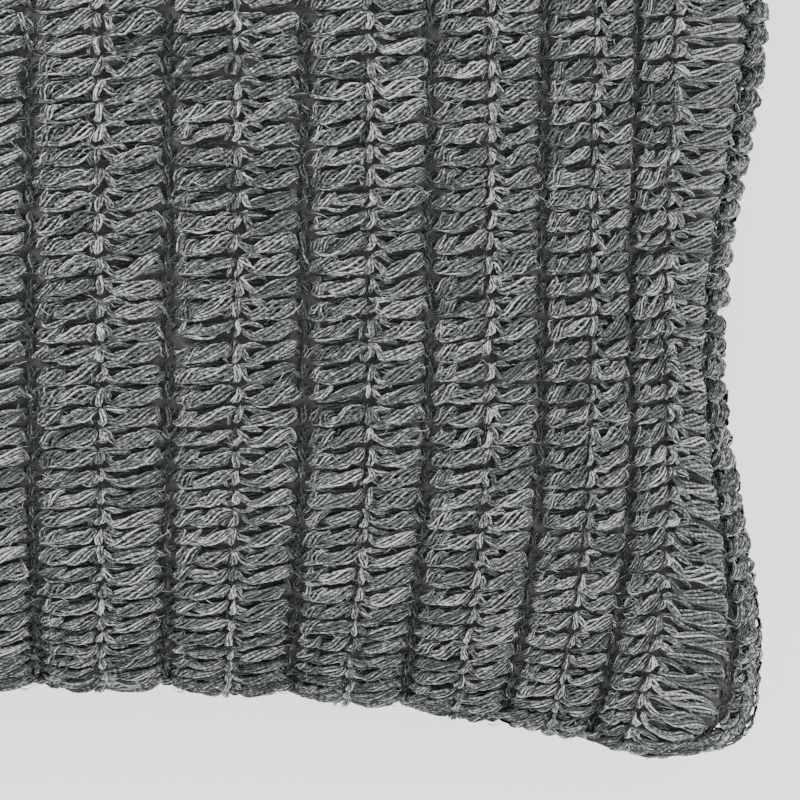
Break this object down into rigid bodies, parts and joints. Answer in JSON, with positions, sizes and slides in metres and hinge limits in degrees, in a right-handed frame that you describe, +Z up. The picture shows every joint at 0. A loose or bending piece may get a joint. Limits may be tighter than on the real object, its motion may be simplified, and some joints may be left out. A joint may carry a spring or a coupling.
{
  "type": "throw pillow",
  "caption": "Square throw pillow in a ribbed crochet cover over a woven lining, with a stuffed insert and a zip hidden in one edge.",
  "frame": {"origin": "middle of the pillow's base, on the surface it lies on", "axes": "+Z up out of the front panel, +X across the crochet rows, -Y towards the zipped edge; the pillow lies on its back"},
  "size_m": [0.4591, 0.4552, 0.1491],
  "materials": {
    "crochet_yarn": "matte",
    "lining_cloth": "matte",
    "insert_cloth": "matte",
    "filling": "matte",
    "sewing_thread": "matte",
    "label_tape": "satin",
    "zip_tape": "matte",
    "zip_nylon": "satin",
    "zip_metal": "satin"
  },
  "bodies": {
    "cover": {"crochet_front": "crochet_yarn", "crochet_back": "crochet_yarn", "joining_yarn": "crochet_yarn", "lining_front": "lining_cloth", "lining_back": "lining_cloth", "lining_thread": "sewing_thread", "insert_shell_front": "insert_cloth", "insert_shell_back": "insert_cloth", "insert_thread": "sewing_thread", "insert_fill": "filling", "care_label": "label_tape", "zip_tape_front": "zip_tape", "zip_tape_back": "zip_tape", "zip_thread_front": "sewing_thread", "zip_thread_back": "sewing_thread", "zip_coil_front": "zip_nylon", "zip_coil_back": "zip_nylon", "zip_top_stops": "zip_metal", "zip_bottom_stop": "zip_metal"},
    "slider": {"zip_slider": "zip_metal"},
    "pull": {"zip_pull": "zip_metal"}
  },
  "joints": [
    {"name": "slider_travel", "type": "slide", "parent": "cover", "child": "slider", "axis": [1, 0, 0], "range_m": [0, 0.291]},
    {"name": "pull_swing", "type": "hinge", "parent": "slider", "child": "pull", "pos_m": [-0.1457, -0.1997, 0.06], "axis": [0, 0, -1], "range_deg": [0, 175]}
  ]
}
